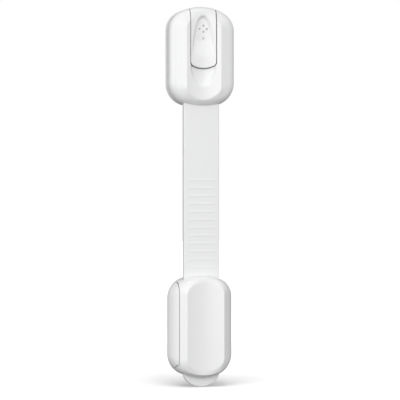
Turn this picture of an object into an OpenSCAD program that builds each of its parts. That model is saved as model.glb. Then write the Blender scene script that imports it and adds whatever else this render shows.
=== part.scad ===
// Adjustable strap lock for cabinets, standing upright.
// +Z runs along the strap with the latch at the top, the visible fronts face -Y,
// and the adhesive backs face +Y. The origin is the centre of the anchor's adhesive face.
// "Depth" below is the distance in front of the adhesive faces, so a depth d lies at y = -d.

/* [Strap] */
// Width of the strap
strap_w = 19.6; // [18.6:0.2:19.8]
// Thickness of the strap
strap_t = 3.2; // [2.9:0.1:3.2]
// Depth of the front face of the strap
strap_front = 8.6; // [8.5:0.05:8.6]
// Distance between two cross ridges
ridge_pitch = 4.2; // [3.8:0.1:4.4]
// Height of a cross ridge
ridge_h = 0.35; // [0.2:0.05:0.4]
// Width of a cross ridge, along the strap
ridge_w = 1.7; // [1.2:0.1:2]
// Length of a cross ridge, across the strap
ridge_len = 14.8; // [12:0.2:16]
// Distance from the anchor's centre to the end of the tail
tail_end = 31.9; // [30:0.1:36]
// Corner radius of the tail
tail_r = 5.5; // [5:0.1:6]
// Radius of the tail's rounded end between its corners
tail_crown = 11.3; // [11:0.1:14]
// Distance between the first and second bending lines
bend_pitch = 9; // [8.4:0.1:9]
// Height of the first bending line above the anchor's centre
bend_start = 71.4; // [70.4:0.1:72.4]
// Free gap at each bending line
bend_gap = 0.7; // [0.6:0.05:0.9]

/* [Anchor] */
// Width of the anchor pad
anchor_w = 36; // [35.8:0.1:36.4]
// Height of the anchor pad
anchor_h = 54.2; // [53:0.2:56]
// Corner radius of the anchor pad, seen from the front
anchor_r = 12; // [11.5:0.1:12.5]
// Overall depth of the anchor pad
anchor_front = 15.8; // [15.4:0.1:16.2]
// Width of the dished front panel of the anchor
anchor_panel_w = 20.2; // [19:0.2:21]
// Height of the dished front panel of the anchor
anchor_panel_h = 47.4; // [45:0.2:48]
// Depth of the dish in the front panel
anchor_dish = 1.3; // [0.8:0.1:1.3]
// Radius of the lid's hinge pin
pin_r = 0.8; // [0.7:0.05:0.9]
// Running clearance of the hinge pin in the lid
pin_clear = 0.05; // [0.02:0.01:0.1]

/* [Latch] */
// Distance between the centres of the two pads
pad_distance = 143; // [142:0.5:146]
// Width of the latch pad
latch_w = 36; // [35.6:0.1:36.6]
// Height of the latch pad
latch_h = 52.8; // [52:0.2:54]
// Corner radius of the latch pad, seen from the front
latch_r = 12.8; // [12:0.1:13.2]
// Overall depth of the latch pad
latch_front = 13.6; // [13.5:0.1:14.2]
// Width of the dished front panel of the latch
latch_panel_w = 19.3; // [18.6:0.1:20]
// Depth of the dish in the front panel
latch_dish = 1.0; // [0.8:0.1:1]
// Radius of the rounded side edge
latch_edge_r = 4.6; // [4:0.1:4.8]

/* [Button] */
// Width of the tongue-shaped button
button_w = 14.1; // [13:0.1:14.4]
// Gap between the button and its slot
button_gap = 0.25; // [0.2:0.05:0.4]
// Height of the button's lowest point above the latch's centre
button_low = -6.2; // [-6.6:0.1:-5.8]
// Radius of the button's curved lower edge
button_low_r = 13.2; // [12:0.1:15]

/* [Plates] */
// Thickness of the foam tape
foam_t = 1; // [0.8:0.1:1]
// Depth of the front of the door plate
base_top = 3; // [2.8:0.1:3]
// Depth of the back of the latch floor
floor_back = 3.2; // [3.1:0.1:3.4]
// Depth of the front of the latch floor
floor_top = 5.2; // [5:0.1:5.2]
// Depth of the parting line between the latch floor and its cover
parting_d = 6.3; // [6:0.1:6.5]
// Wall thickness of the shells
wall = 1.8; // [1.5:0.1:1.9]

/* [Hidden] */

$fn = 72;
eps = 0.01;
zc = pad_distance;                    // height of the latch's centre
strap_back = strap_front - strap_t;
strap_top = zc - 15.5;                // upper end of the strap, inside the latch
first_ridge = bend_start + 1.5 * ridge_pitch;

// side of the anchor: drawn in at the back, widest at wide_d, leaning in more and more up to the seam,
// and a flat facet from the seam to the front panel
wide_d = 3.5;
back_in = 0.9;
lean_in = 4.3;
lean_power = 1.84;
seam_x = anchor_w / 2 - lean_in;      // the seam lies where the side meets the facet
seam_d = anchor_front - 3.2;
facet_lean = atan((seam_x - anchor_panel_w / 2) / (anchor_front - seam_d));
function side_x(d) = anchor_w / 2 - (d < wide_d ? back_in * pow((wide_d - d) / (wide_d - foam_t), 2)
                                                : lean_in * pow((d - wide_d) / (seam_d - wide_d), lean_power));
function side_lean(d) = d < wide_d ? -atan(2 * back_in * (wide_d - d) / pow(wide_d - foam_t, 2))
                     : atan(lean_power * lean_in / (seam_d - wide_d) * pow((d - wide_d) / (seam_d - wide_d), lean_power - 1));

// hinge of the lid
hinge_x = anchor_w / 2 - 2.2;
hinge_d = 3.2;
knuckle_r = 2;
ear = [12, 14.8];                     // where each base ear starts and ends, from the middle
knuckle_end = 22.6;

screw_x = 12.3;
screw_z = 16.8;
stud_r = 2.7;
neck_r = 1.85;
clip_x = 2.45;                        // distance of the catch legs from the middle
clip_d = 6;
wire_r = 0.5;
scoop_r = 8;                          // radius of the thumb scoop, seen from the front
scoop_deep = 1.1;
scoop_ball = (pow(scoop_r, 2) + pow(scoop_deep, 2)) / (2 * scoop_deep);

// ---------------------------------------------------------------- helpers

// box from x0 to x1, depth d0 to d1 and z0 to z1
module block(x0, x1, d0, d1, z0, z1) translate([x0, -d1, z0]) cube([x1 - x0, d1 - d0, z1 - z0]);

// round rod along the depth
module rod_d(r, d0, d1, x, z) translate([x, -d0, z]) rotate([90, 0, 0]) cylinder(r = r, h = d1 - d0);

// round rod along the strap
module rod_z(r, z0, z1, x, d) translate([x, -d, z0]) cylinder(r = r, h = z1 - z0);

module round_rect(w, h, r) {
    square([w - 2 * r, h], center = true);
    square([w, h - 2 * r], center = true);
    for (sx = [-1, 1], sz = [-1, 1])
        translate([sx * (w / 2 - r), sz * (h / 2 - r)]) circle(r);
}

// flat plate with rounded corners between two depths
module plate(w, h, r, d0, d1, z = 0)
    translate([0, -d0, z]) rotate([90, 0, 0]) linear_extrude(d1 - d0) round_rect(w, h, r);

// a drawing in X and Z, pushed out between two depths
module along_depth(d0, d1) translate([0, -d0, 0]) rotate([90, 0, 0]) linear_extrude(d1 - d0) children();

// a section in X and depth, pushed out along Z
module along_z(z0, z1) translate([0, 0, z0]) mirror([0, 1, 0]) linear_extrude(z1 - z0) children();

// a profile in Z and depth, pushed out along X
module along_x(x0, x1) translate([x0, 0, 0]) multmatrix([[0, 0, 1, 0], [0, -1, 0, 0], [1, 0, 0, 0], [0, 0, 0, 1]])
    linear_extrude(x1 - x0) children();

function both_sides(p) = concat(p, [for (i = [len(p) - 1 : -1 : 0]) [-p[i][0], p[i][1]]]);
function arc(cx, cd, r, a0, a1, n) = [for (i = [0 : n]) let (a = a0 + (a1 - a0) * i / n) [cx + r * cos(a), cd + r * sin(a)]];

// ---------------------------------------------------------------- outer forms

// half section of the anchor, inset by t, from the back to the front
function anchor_half(t) =
    let (depths = concat([foam_t, (foam_t + wide_d) / 2],
                         [for (i = [0 : 6]) wide_d + (seam_d - wide_d) * pow(i / 6, 0.8)]),
         side = [for (d = depths) [side_x(d) - t * cos(side_lean(d)), d - t * sin(side_lean(d))]],
         last = side[len(side) - 1],
         d_in = t > 0 ? anchor_front - anchor_dish - t : anchor_front,
         x_in = t > 0 ? last[0] - (d_in - last[1]) * tan(facet_lean) : anchor_panel_w / 2)
    concat([[side[0][0], -1]], side, [[x_in, d_in]]);

function anchor_ends(t) =
    [[anchor_h / 2 - t, -1], [anchor_h / 2 - t, foam_t],
     [anchor_h / 2 - t - 1.1, seam_d - t * 0.4], [anchor_panel_h / 2 - t * 0.6, anchor_front - t * 0.8]];

module anchor_form(t) intersection() {
    plate(anchor_w - 2 * t, anchor_h - 2 * t, anchor_r - t, t > 0 ? -1 : foam_t, anchor_front + 1);
    along_z(-40, 40) polygon(both_sides(anchor_half(t)));
    along_x(-30, 30) polygon(both_sides(anchor_ends(t)));
}

// the dish is a wide shallow trough that runs the whole length of the front
module dish(front, w, deep) {
    r = (pow(w / 2, 2) + pow(deep, 2)) / (2 * deep);
    translate([0, -(front - deep) - r, -60]) cylinder(r = r, h = 300, $fn = 360);
}

function latch_half(t) =
    let (cx = latch_w / 2 - latch_edge_r, cd = 7.6, a1 = 73)
    concat([[latch_w / 2 - t, -1]], arc(cx, cd, latch_edge_r - t, 0, a1, 8),
           [[latch_panel_w / 2 - (t > 0 ? 2.3 : 0), t > 0 ? latch_front - latch_dish - t : latch_front]]);

function latch_ends(t) = concat(
    [[latch_h / 2 - t, -1]], arc(latch_h / 2 - 4.4, 8, 4.4 - t, 0, 65, 6),
    [[latch_h / 2 - 5 - t * 0.4, latch_front - (t > 0 ? latch_dish + t : 0)],
     [-latch_h / 2 + 3.4 + t * 0.6, latch_front - (t > 0 ? latch_dish + t : 0)]],
    arc(-latch_h / 2 + 4, 8.6, 4 - t, 115, 180, 6), [[-latch_h / 2 + t, -1]]);

module latch_form(t) translate([0, 0, zc]) intersection() {
    plate(latch_w - 2 * t, latch_h - 2 * t, latch_r - t, t > 0 ? -1 : foam_t, latch_front + 1);
    along_z(-40, 40) polygon(both_sides(latch_half(t)));
    along_x(-30, 30) polygon(latch_ends(t));
}

// outline of the tongue, grown by g on every side; it is open at the top
module tongue_outline(g) translate([0, zc]) intersection() {
    translate([-button_w / 2 - g, -20]) square([button_w + 2 * g, 60]);
    union() {
        translate([0, button_low + button_low_r]) circle(button_low_r + g, $fn = 180);
        translate([-button_w, button_low + button_low_r]) square([2 * button_w, 40]);
    }
}

// ---------------------------------------------------------------- anchor

module hinge_knuckles(z_from, z_to, r) intersection() {
    for (s = [-1, 1]) mirror([0, 0, s < 0 ? 1 : 0]) rod_z(r, z_from, z_to, hinge_x, hinge_d);
    plate(anchor_w, anchor_h, anchor_r, foam_t, 20);
}

// region to the left of the seam, which belongs to the base's side wall
module seam_region(g) {
    block(-30, -seam_x - g, 0, seam_d + 1.4, -21 + g, 40);
}

module anchor_base() color("white") difference() {
    union() {
        // floor, cut back on the right for the hinge
        difference() {
            intersection() {
                anchor_form(0);
                block(-30, 30, 0, base_top, -40, 40);
            }
            block(hinge_x - 2.4, 30, -1, 4, -knuckle_end - 0.3, knuckle_end + 0.3);
        }
        // left side wall
        intersection() {
            difference() {
                anchor_form(0);
                anchor_form(wall);
            }
            seam_region(0.1);
            block(-30, 0, base_top - eps, seam_d - 0.15, -40, 40);
        }
        // side rails and support rails of the strap channel
        for (s = [-1, 1]) {
            block(min(s * 10.1, s * 11.5), max(s * 10.1, s * 11.5), base_top - eps, 8.3, -22.4, 22.4);
            block(min(s * 4, s * 6), max(s * 4, s * 6), base_top - eps, strap_back - 0.1, -24.4, 24.4);
        }
        // cross ribs between the rails
        for (z = [-20, 0, 20]) block(-10.6, 10.6, base_top - eps, strap_back - 0.4, z - 0.6, z + 0.6);
        // ears that hold the hinge pin
        hinge_knuckles(ear[0], ear[1], knuckle_r - 0.1);
        for (s = [-1, 1]) block(hinge_x - 3, hinge_x, foam_t + 0.3, hinge_d,
                                s > 0 ? ear[0] : -ear[1], s > 0 ? ear[1] : -ear[0]);
    }
    rod_z(pin_r + 0.01, -18, 18, hinge_x, hinge_d);
}

// foam tape, cut back on the right so that the open lid can pass behind the hinge
module anchor_adhesive() color("gainsboro") difference() {
    plate(anchor_w - 4, anchor_h - 4, anchor_r - 2, 0, foam_t);
    block(hinge_x - 2.6, 30, -1, 4, -knuckle_end - 0.8, knuckle_end + 0.8);
}

module lid_hinge_pin() color("silver") {
    rod_z(pin_r, -17, 17, hinge_x, hinge_d);
}

module anchor_lid() color("white") difference() {
    union() {
        difference() {
            intersection() {
                anchor_form(0);
                block(-30, 30, base_top + 0.2, 30, -40, 40);
            }
            anchor_form(wall);
            seam_region(0);
            // way for the strap through both ends
            block(-10.4, 10.4, 0, strap_front + ridge_h + 0.05, -40, 40);
        }
        // knuckles round the pin
        hinge_knuckles(0, ear[0] - 0.25, knuckle_r);
        hinge_knuckles(ear[1] + 0.25, knuckle_end, knuckle_r);
        // web from the knuckles up to the side wall
        intersection() {
            anchor_form(0);
            union() {
                block(hinge_x, 30, hinge_d, 5.4, -ear[0] + 0.25, ear[0] - 0.25);
                for (s = [-1, 1]) block(hinge_x, 30, hinge_d, 5.4, s > 0 ? ear[1] + 0.25 : -knuckle_end,
                                        s > 0 ? knuckle_end : -ear[1] - 0.25);
            }
        }
        // stiffening tongue behind the free edge
        intersection() {
            anchor_form(1);
            block(-12.9, -12.1, 6, 14, -14, 14);
        }
        // frame that holds the comb
        for (s = [-1, 1]) block(min(s * 8.9, s * 9.7), max(s * 8.9, s * 9.7), 9.3, anchor_front - anchor_dish - 0.9, -18.2, 18.2);
        for (s = [-1, 1]) block(-9.7, 9.7, 9.3, anchor_front - anchor_dish - 0.9, s > 0 ? 17.4 : -18.2, s > 0 ? 18.2 : -17.4);
    }
    dish(anchor_front, anchor_panel_w, anchor_dish);
    // room for the base's ears
    for (s = [-1, 1]) mirror([0, 0, s < 0 ? 1 : 0])
        rod_z(knuckle_r + 0.25, ear[0] - 0.25, ear[1] + 0.25, hinge_x, hinge_d);
    rod_z(pin_r + pin_clear, -17.2, 17.2, hinge_x, hinge_d);
}

module grip_comb() color("whitesmoke") {
    block(-8.7, 8.7, 9.75, anchor_front - anchor_dish - wall, -17.2, 17.2);
    for (i = [-3.5 : 1 : 3.5]) block(-7.6, 7.6, 9.2, 9.75 + eps, i * ridge_pitch - 0.8, i * ridge_pitch + 0.8);
}

// ---------------------------------------------------------------- strap

module ridge(z) translate([0, -strap_front, z]) intersection() {
    r = (pow(ridge_w / 2, 2) + pow(ridge_h, 2)) / (2 * ridge_h);
    translate([-ridge_len / 2, r - ridge_h, 0]) rotate([0, 90, 0]) cylinder(r = r, h = ridge_len, $fn = 96);
    translate([-ridge_len / 2, -ridge_h - 1, -ridge_w]) cube([ridge_len, ridge_h + 1.1, 2 * ridge_w]);
}

// straight stretch of the strap from z0 to z1, with the ridges whose middle lies in it
module strap_piece(z0, z1) {
    block(-strap_w / 2, strap_w / 2, strap_back, strap_front, z0, z1);
    for (i = [0 : 23]) if (first_ridge - i * ridge_pitch > z0 && first_ridge - i * ridge_pitch < z1)
        ridge(first_ridge - i * ridge_pitch);
}

module strap_tail() color("white") {
    // the crown of the end meets both corner arcs smoothly
    side = strap_w / 2 - tail_r;
    rise = tail_crown - sqrt(pow(tail_crown - tail_r, 2) - pow(side, 2));
    touch = tail_crown * side / (tail_crown - tail_r);
    strap_piece(-tail_end + rise, bend_start - bend_gap / 2);
    along_depth(strap_back, strap_front) {
        for (s = [-1, 1]) translate([s * side, -tail_end + rise]) circle(tail_r);
        intersection() {
            translate([0, -tail_end + tail_crown]) circle(tail_crown, $fn = 180);
            translate([-touch, -tail_end - 1]) square([2 * touch, rise + 1 + eps]);
        }
    }
}

module strap_segment(i) color("white")
    strap_piece(bend_start + (i - 1) * bend_pitch + bend_gap / 2, bend_start + i * bend_pitch - bend_gap / 2);

module strap_segment_1() strap_segment(1);
module strap_segment_2() strap_segment(2);
module strap_segment_3() strap_segment(3);
module strap_segment_4() strap_segment(4);

module strap_head() color("white") difference() {
    block(-strap_w / 2, strap_w / 2, strap_back, strap_front, bend_start + 4 * bend_pitch + bend_gap / 2, strap_top);
    for (s = [-1, 1]) rod_d(1.6, 0, 12, s * 5.5, zc - 21);
}

// ---------------------------------------------------------------- latch

module at_screws() for (sx = [-1, 1], sz = [-1, 1]) translate([sx * screw_x, 0, zc + sz * screw_z]) children();

module latch_cover() color("white") difference() {
    union() {
        difference() {
            intersection() {
                latch_form(0);
                block(-30, 30, parting_d, 30, 0, 300);
            }
            latch_form(wall);
            // way for the strap
            block(-10.1, 10.1, 0, strap_front + 0.15, zc - 40, zc - 20);
            // slot of the button, open over the top end
            along_depth(9, 20) tongue_outline(button_gap);
            intersection() {
                along_depth(7.35, 20) tongue_outline(button_gap);
                block(-30, 30, 0, 30, zc + latch_h / 2 - 8, zc + 60);
            }
        }
        // screw bosses
        intersection() {
            latch_form(wall / 2);
            at_screws() rod_d(2.4, floor_top, 11.4, 0, 0);
        }
        // guides beside the slider
        for (s = [-1, 1]) block(min(s * 8.9, s * 9.7), max(s * 8.9, s * 9.7), 9.3, 11.3, zc - 15, zc + 18);
        // ribs that press on the end of the strap
        for (z = [-23.6, -17.8]) block(-9.2, 9.2, strap_front, 11.3, zc + z, zc + z + 1);
    }
    dish(latch_front, latch_panel_w, latch_dish);
    at_screws() rod_d(1.05, 0, 10.2, 0, 0);
    // shallow thumb scoop below the button
    translate([0, -latch_front + latch_dish + scoop_deep - scoop_ball, zc - 8.6]) sphere(r = scoop_ball, $fn = 180);
}

module latch_floor() color("white") difference() {
    union() {
        plate(latch_w - 0.4, latch_h - 0.4, latch_r - 0.2, floor_back, floor_top, zc);
        // low rim up to the parting line, open at the bottom for the strap
        difference() {
            intersection() {
                latch_form(0);
                plate(latch_w - 0.4, latch_h - 0.4, latch_r - 0.2, floor_top - eps, parting_d, zc);
            }
            latch_form(wall);
            block(-10.1, 10.1, 0, strap_front + 0.15, zc - 40, zc - 20);
        }
        // posts through the holes of the strap
        for (s = [-1, 1]) rod_d(1.5, floor_top - eps, strap_front - 0.1, s * 5.5, zc - 21);
        // post inside the loop of the catch, and stops beside its legs
        rod_d(1.8, floor_top - eps, 7.4, 0, zc + 6);
        for (s = [-1, 1]) block(min(s * 4.2, s * 5.2), max(s * 4.2, s * 5.2), floor_top - eps, 6.9, zc + 1.5, zc + 7);
        // seat of the return spring
        block(-3, 3, floor_top - eps, 9, zc + 22.4, zc + 24);
    }
    rod_d(3, 0, 12, 0, zc);
    for (s = [-1, 1]) rod_d(1.5, 0, 12, s * 10, zc);
    at_screws() rod_d(1.1, 0, 12, 0, 0);
    at_screws() rod_d(2.3, 0, floor_back + 1.3, 0, 0);
}

module latch_screws() color("silver") at_screws() difference() {
    union() {
        rod_d(2.1, floor_back + 0.15, floor_back + 1.3, 0, 0);
        rod_d(1, floor_back + 1.3 - eps, 9.8, 0, 0);
    }
    for (a = [0, 90]) translate([0, -floor_back - 0.15, 0]) rotate([0, a, 0])
        translate([-1.4, -0.7, -0.25]) cube([2.8, 1, 0.5]);
}

module catch_spring() color("silver") translate([0, -clip_d, zc]) {
    for (s = [-1, 1]) {
        translate([s * clip_x, 0, -4]) cylinder(r = wire_r, h = 10, $fn = 32);
        // flared mouth for the wedge
        translate([s * clip_x, 0, -4]) rotate([0, s * -14, 0]) translate([0, 0, -4.2])
            cylinder(r = wire_r, h = 4.3, $fn = 32);
    }
    // loop round the post
    translate([0, 0, 6]) intersection() {
        rotate([90, 0, 0]) rotate_extrude($fn = 64) translate([clip_x, 0]) circle(wire_r, $fn = 32);
        translate([-4, -1, 0]) cube([8, 2, 4]);
    }
}

// coil along +Z from z0 to z1, with one closed turn at each end
module coil(r, wire, z0, z1, turns, steps, sides) {
    dead = wire * 2.1;
    live = z1 - z0 - 2 * wire - 2 * dead;
    function height(n) = n < 1 ? dead * n : n > turns - 1 ? dead + live + dead * (n - turns + 1)
                        : dead + live * (n - 1) / (turns - 2);
    total = turns * steps;
    pts = [for (i = [0 : total], k = [0 : sides - 1])
              let (a = 360 * i / steps, b = 360 * k / sides, q = r + wire * cos(b))
              [q * cos(a), q * sin(a), z0 + wire + height(i / steps) + wire * sin(b)]];
    skin = [for (i = [0 : total - 1], k = [0 : sides - 1])
               let (k2 = (k + 1) % sides)
               [i * sides + k, i * sides + k2, (i + 1) * sides + k2, (i + 1) * sides + k]];
    first = [for (k = [sides - 1 : -1 : 0]) k];
    last = [for (k = [0 : sides - 1]) total * sides + k];
    polyhedron(points = pts, faces = concat(skin, [first, last]), convexity = 10);
}

module button_spring() color("silver") translate([0, -7.2, 0])
    mirror([0, 1, 0]) coil(1.4, 0.22, zc + 12.05, zc + 22.35, 8, 14, 8);

// ---------------------------------------------------------------- button

module release_button() color("white") {
    difference() {
        intersection() {
            latch_form(0);
            along_depth(7.6, 20) tongue_outline(0);
            union() {
                block(-30, 30, 9, 30, 0, 300);
                block(-30, 30, 0, 30, zc + latch_h / 2 - 7, 300);
            }
        }
        latch_form(wall);
        dish(latch_front, latch_panel_w, latch_dish);
        // five grip pits in the shape of an arrow
        for (p = [[0, 16.5], [-2.1, 14.85], [2.1, 14.85], [0, 13.25], [0, 9.75]])
            rod_d(0.45, latch_front - latch_dish - 0.6, latch_front + 1, p[0], zc + p[1]);
    }
    // pegs that hold the cap on the slider
    for (z = [2, 12]) rod_d(1.2, 9.4, 11.4, 0, zc + z);
}

module button_slider() color("whitesmoke") {
    difference() {
        union() {
            block(-8.6, 8.6, 9.2, 10.5, zc - 14.2, zc + 14);
            block(-6.6, 6.6, 10.5 - eps, latch_front - latch_dish - wall, zc - 4.4, zc + 14);
            // wedge that opens the catch
            along_depth(5.6, 9.2 + eps) translate([0, zc])
                polygon([[-3.95, -12.8], [3.95, -12.8], [3.95, -10.4], [0.8, -7.2], [-0.8, -7.2], [-3.95, -10.4]]);
            // seat of the return spring
            block(-2.4, 2.4, 5.7, 9.2 + eps, zc + 10.6, zc + 12);
        }
        for (z = [2, 12]) rod_d(1.25, 9.3, 12, 0, zc + z);
    }
}

// ---------------------------------------------------------------- door plate

module latch_base() color("white") {
    plate(latch_w, latch_h, latch_r, foam_t, base_top, zc);
    // stud that the catch grips
    translate([0, -base_top, zc]) rotate([90, 0, 0]) rotate_extrude()
        polygon([[0, -0.5], [stud_r - 0.1, -0.5], [stud_r - 0.1, 2.3], [neck_r, 2.3], [neck_r, 3.8],
                 [stud_r, 3.8], [stud_r, 4.3], [1.4, 5.6], [0, 5.6]]);
    // two locating pegs
    for (s = [-1, 1]) rod_d(1.4, base_top - 0.5, 4.9, s * 10, zc);
}

module latch_adhesive() color("gainsboro") plate(latch_w - 4, latch_h - 4, latch_r - 2, 0, foam_t, zc);

anchor_base();
anchor_adhesive();
lid_hinge_pin();
anchor_lid();
grip_comb();
strap_tail();
strap_segment_1();
strap_segment_2();
strap_segment_3();
strap_segment_4();
strap_head();
latch_cover();
latch_floor();
latch_screws();
catch_spring();
button_spring();
release_button();
button_slider();
latch_base();
latch_adhesive();
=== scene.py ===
import math

import bmesh
import bpy
import numpy as np
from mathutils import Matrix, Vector


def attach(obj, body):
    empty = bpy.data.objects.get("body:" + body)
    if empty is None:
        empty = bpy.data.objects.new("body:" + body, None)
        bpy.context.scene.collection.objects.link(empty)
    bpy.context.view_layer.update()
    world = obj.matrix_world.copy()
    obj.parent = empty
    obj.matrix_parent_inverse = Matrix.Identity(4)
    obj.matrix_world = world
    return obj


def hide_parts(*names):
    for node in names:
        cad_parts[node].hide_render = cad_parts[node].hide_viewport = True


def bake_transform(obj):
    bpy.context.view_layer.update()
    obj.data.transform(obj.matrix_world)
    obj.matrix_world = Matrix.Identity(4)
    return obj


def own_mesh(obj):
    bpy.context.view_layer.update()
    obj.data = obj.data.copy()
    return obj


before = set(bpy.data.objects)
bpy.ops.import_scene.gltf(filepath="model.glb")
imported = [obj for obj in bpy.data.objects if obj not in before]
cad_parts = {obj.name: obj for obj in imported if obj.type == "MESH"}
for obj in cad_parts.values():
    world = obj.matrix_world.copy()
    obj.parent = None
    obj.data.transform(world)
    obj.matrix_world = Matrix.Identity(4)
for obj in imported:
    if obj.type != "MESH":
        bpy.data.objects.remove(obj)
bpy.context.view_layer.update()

MM = 0.001
ZC = 143.0            # height of the latch's centre, mm
SCENE = bpy.context.scene


# ------------------------------------------------------------------ camera
TARGET = Vector((1.640, -0.533, 67.1)) * MM
AZ = math.radians(-18.0)
DIST = 0.9
back = Vector((math.sin(AZ), -math.cos(AZ), 0.0))
cam_data = bpy.data.cameras.new("camera")
cam_data.sensor_width = 36.0
cam_data.lens = 151.5
cam_data.clip_start = 0.05
cam_data.clip_end = 20.0
cam = bpy.data.objects.new("camera", cam_data)
SCENE.collection.objects.link(cam)
cam.location = TARGET + back * DIST
cam.rotation_mode = "QUATERNION"
cam.rotation_quaternion = (-back).to_track_quat("-Z", "Y")
SCENE.camera = cam
SCENE.view_settings.view_transform = "Standard"
SCENE.view_settings.look = "None"


# ------------------------------------------------------------------ node helpers
def new_material(name):
    m = bpy.data.materials.new(name)
    m.use_nodes = True
    nt = m.node_tree
    nt.nodes.clear()
    out = nt.nodes.new("ShaderNodeOutputMaterial")
    bsdf = nt.nodes.new("ShaderNodeBsdfPrincipled")
    nt.links.new(bsdf.outputs["BSDF"], out.inputs["Surface"])
    return m, nt, bsdf


def noise(nt, coord, scale, detail=3.0, rough=0.5):
    n = nt.nodes.new("ShaderNodeTexNoise")
    n.inputs["Scale"].default_value = scale
    n.inputs["Detail"].default_value = detail
    n.inputs["Roughness"].default_value = rough
    nt.links.new(coord, n.inputs["Vector"])
    return n.outputs["Fac"]


def ramp(nt, fac, lo, hi, a, b):
    r = nt.nodes.new("ShaderNodeMapRange")
    r.inputs["From Min"].default_value = lo
    r.inputs["From Max"].default_value = hi
    r.inputs["To Min"].default_value = a
    r.inputs["To Max"].default_value = b
    r.clamp = True
    nt.links.new(fac, r.inputs["Value"])
    return r.outputs["Result"]


def colour_mix(nt, fac, a, b):
    m = nt.nodes.new("ShaderNodeMix")
    m.data_type = "RGBA"
    nt.links.new(fac, m.inputs["Factor"])
    m.inputs["A"].default_value = (*a, 1)
    m.inputs["B"].default_value = (*b, 1)
    return m.outputs["Result"]


def maths(nt, op, a, b=None):
    m = nt.nodes.new("ShaderNodeMath")
    m.operation = op
    for k, v in enumerate((a, b)):
        if v is None:
            continue
        if isinstance(v, (int, float)):
            m.inputs[k].default_value = v
        else:
            nt.links.new(v, m.inputs[k])
    return m.outputs[0]


def bump(nt, height, strength, distance, normal=None):
    b = nt.nodes.new("ShaderNodeBump")
    b.inputs["Strength"].default_value = strength
    b.inputs["Distance"].default_value = distance
    nt.links.new(height, b.inputs["Height"])
    if normal is not None:
        nt.links.new(normal, b.inputs["Normal"])
    return b.outputs["Normal"]


def plastic(name, light, dark, rough, spread, grain, grain_bump, wave_bump, sss=0.0, spec=0.5, coat=0.0, scuff=0.0):
    """Moulded plastic: faint flow clouding, fine tool grain, a slow waviness of the moulded skin,
    soft rubbed patches and sparse hairline scuffs that only change the gloss."""
    m, nt, bsdf = new_material(name)
    geo = nt.nodes.new("ShaderNodeTexCoord")
    pos = geo.outputs["Object"]
    cloud = noise(nt, pos, 55, 2.0, 0.45)
    nt.links.new(colour_mix(nt, ramp(nt, cloud, 0.32, 0.7, 0, 1), dark, light), bsdf.inputs["Base Color"])
    patch = noise(nt, pos, 130, 4.0, 0.6)
    base_rough = ramp(nt, patch, 0.35, 0.7, rough - spread, rough + spread)
    if scuff:
        mapping = nt.nodes.new("ShaderNodeMapping")
        mapping.inputs["Rotation"].default_value = (0.2, 0.5, 0.3)
        mapping.inputs["Scale"].default_value = (1.0, 1.0, 0.06)
        nt.links.new(pos, mapping.inputs["Vector"])
        hair = noise(nt, mapping.outputs["Vector"], 5200, 1.0, 0.5)
        lines = ramp(nt, hair, 0.70, 0.78, 0.0, scuff)
        base_rough = maths(nt, "ADD", base_rough, lines)
    nt.links.new(base_rough, bsdf.inputs["Roughness"])
    fine = noise(nt, pos, grain, 2.0, 0.55)
    slow = noise(nt, pos, 90, 1.0, 0.4)
    n1 = bump(nt, slow, wave_bump, 0.00012)
    n2 = bump(nt, fine, grain_bump, 0.00002, n1)
    nt.links.new(n2, bsdf.inputs["Normal"])
    bsdf.inputs["IOR"].default_value = 1.49
    bsdf.inputs["Specular IOR Level"].default_value = spec
    if sss:
        bsdf.inputs["Subsurface Weight"].default_value = sss
        bsdf.inputs["Subsurface Radius"].default_value = (1.0, 0.95, 0.9)
        bsdf.inputs["Subsurface Scale"].default_value = 0.0012
    if coat:
        bsdf.inputs["Coat Weight"].default_value = coat
        bsdf.inputs["Coat Roughness"].default_value = 0.12
    return m


def metal(name, light, dark, rough, stretch, grain):
    m, nt, bsdf = new_material(name)
    geo = nt.nodes.new("ShaderNodeTexCoord")
    mapping = nt.nodes.new("ShaderNodeMapping")
    mapping.inputs["Scale"].default_value = stretch
    nt.links.new(geo.outputs["Object"], mapping.inputs["Vector"])
    n = noise(nt, mapping.outputs["Vector"], grain, 3.0, 0.6)
    nt.links.new(colour_mix(nt, ramp(nt, n, 0.3, 0.7, 0, 1), dark, light), bsdf.inputs["Base Color"])
    nt.links.new(ramp(nt, n, 0.3, 0.7, rough - 0.07, rough + 0.1), bsdf.inputs["Roughness"])
    nt.links.new(bump(nt, n, 0.25, 0.00002), bsdf.inputs["Normal"])
    bsdf.inputs["Metallic"].default_value = 1.0
    return m


def foam(name):
    """Closed-cell foam tape: cells of two sizes, with a faint mottling."""
    m, nt, bsdf = new_material(name)
    geo = nt.nodes.new("ShaderNodeTexCoord")
    pos = geo.outputs["Object"]
    cell = nt.nodes.new("ShaderNodeTexVoronoi")
    cell.inputs["Scale"].default_value = 2600
    nt.links.new(pos, cell.inputs["Vector"])
    cell2 = nt.nodes.new("ShaderNodeTexVoronoi")
    cell2.inputs["Scale"].default_value = 1100
    nt.links.new(pos, cell2.inputs["Vector"])
    both = maths(nt, "ADD", cell.outputs["Distance"], maths(nt, "MULTIPLY", cell2.outputs["Distance"], 0.6))
    mott = noise(nt, pos, 420, 4.0, 0.6)
    nt.links.new(colour_mix(nt, ramp(nt, mott, 0.3, 0.7, 0, 1), (0.70, 0.70, 0.68), (0.83, 0.83, 0.81)),
                 bsdf.inputs["Base Color"])
    nt.links.new(ramp(nt, mott, 0.3, 0.7, 0.72, 0.92), bsdf.inputs["Roughness"])
    nt.links.new(bump(nt, both, 0.5, 0.00012), bsdf.inputs["Normal"])
    bsdf.inputs["Specular IOR Level"].default_value = 0.25
    return m


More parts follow.
